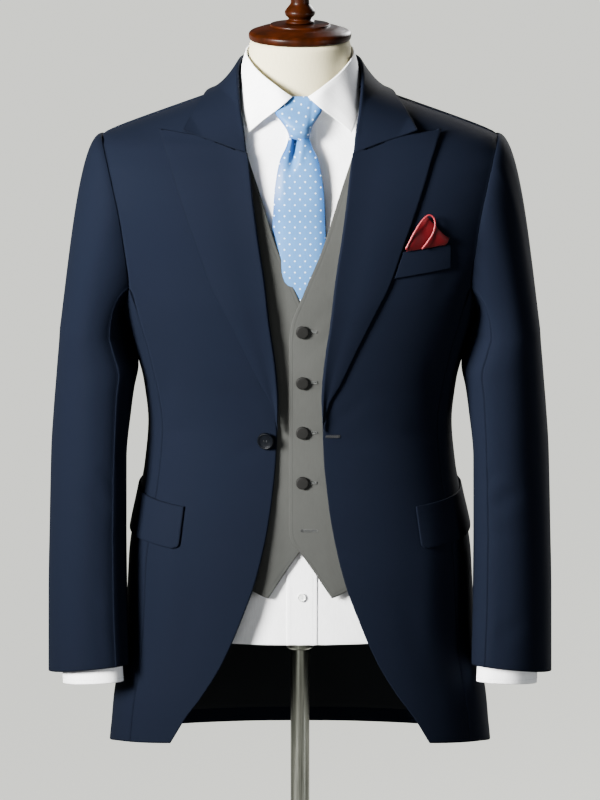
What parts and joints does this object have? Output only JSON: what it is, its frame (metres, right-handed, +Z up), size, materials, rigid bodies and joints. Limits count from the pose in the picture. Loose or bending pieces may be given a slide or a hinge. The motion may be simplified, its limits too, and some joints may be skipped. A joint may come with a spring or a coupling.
{
  "type": "morning suit on a dress form",
  "caption": "Cutaway coat with peaked lapels over a waistcoat, shirt, tie and pocket square, worn by a limbless dress form on a round-based stand.",
  "frame": {"origin": "on the floor, at the middle of the stand's base", "axes": "+Z up, -Y the front of the suit, +X the wearer's left"},
  "size_m": [0.5808, 0.36, 1.6127],
  "materials": {
    "navy_wool": "fine worsted, soft sheen",
    "lining": "satin lining",
    "grey_wool": "fine worsted, matt",
    "white_cotton": "crisp poplin",
    "blue_silk": "woven silk with small white dots",
    "red_silk": "silk, soft sheen",
    "jersey": "smooth cotton jersey",
    "turned_wood": "varnished",
    "stand_steel": "polished tube, satin base",
    "horn_button": "dark horn",
    "covered_button": "covered in the waistcoat's cloth",
    "pearl_button": "mother of pearl"
  },
  "bodies": {
    "root": {"coat_back_button_l": "horn_button", "coat_back_button_r": "horn_button", "coat_back_l": "navy_wool", "coat_back_r": "navy_wool", "coat_breast_welt": "navy_wool", "coat_collar": "navy_wool", "coat_collar_stand": "navy_wool", "coat_cuff_button_l1": "horn_button", "coat_cuff_button_l2": "horn_button", "coat_cuff_button_l3": "horn_button", "coat_cuff_button_r1": "horn_button", "coat_cuff_button_r2": "horn_button", "coat_cuff_button_r3": "horn_button", "coat_flap_l": "navy_wool", "coat_flap_r": "navy_wool", "coat_forepart_l": "navy_wool", "coat_forepart_r": "navy_wool", "coat_front_button": "horn_button", "coat_lapel_l": "navy_wool", "coat_lapel_r": "navy_wool", "coat_sidebody_l": "navy_wool", "coat_sidebody_r": "navy_wool", "coat_tail_lining_l": "lining", "coat_tail_lining_r": "lining", "coat_topsleeve_l": "navy_wool", "coat_topsleeve_r": "navy_wool", "coat_undersleeve_l": "navy_wool", "coat_undersleeve_r": "navy_wool", "form_cap": "turned_wood", "form_finial": "turned_wood", "form_torso": "jersey", "pocket_square": "red_silk", "shirt_back": "white_cotton", "shirt_button": "pearl_button", "shirt_collar_leaf": "white_cotton", "shirt_collar_stand": "white_cotton", "shirt_cuff_l": "white_cotton", "shirt_cuff_r": "white_cotton", "shirt_front_l": "white_cotton", "shirt_front_r": "white_cotton", "shirt_placket": "white_cotton", "shirt_sleeve_l": "white_cotton", "shirt_sleeve_r": "white_cotton", "stand_base": "stand_steel", "stand_pole": "stand_steel", "stand_socket": "stand_steel", "tie_blade": "blue_silk", "tie_knot": "blue_silk", "waistcoat_back": "grey_wool", "waistcoat_button_1": "covered_button", "waistcoat_button_2": "covered_button", "waistcoat_button_3": "covered_button", "waistcoat_button_4": "covered_button", "waistcoat_front_l": "grey_wool", "waistcoat_front_r": "grey_wool"}
  },
  "joints": []
}
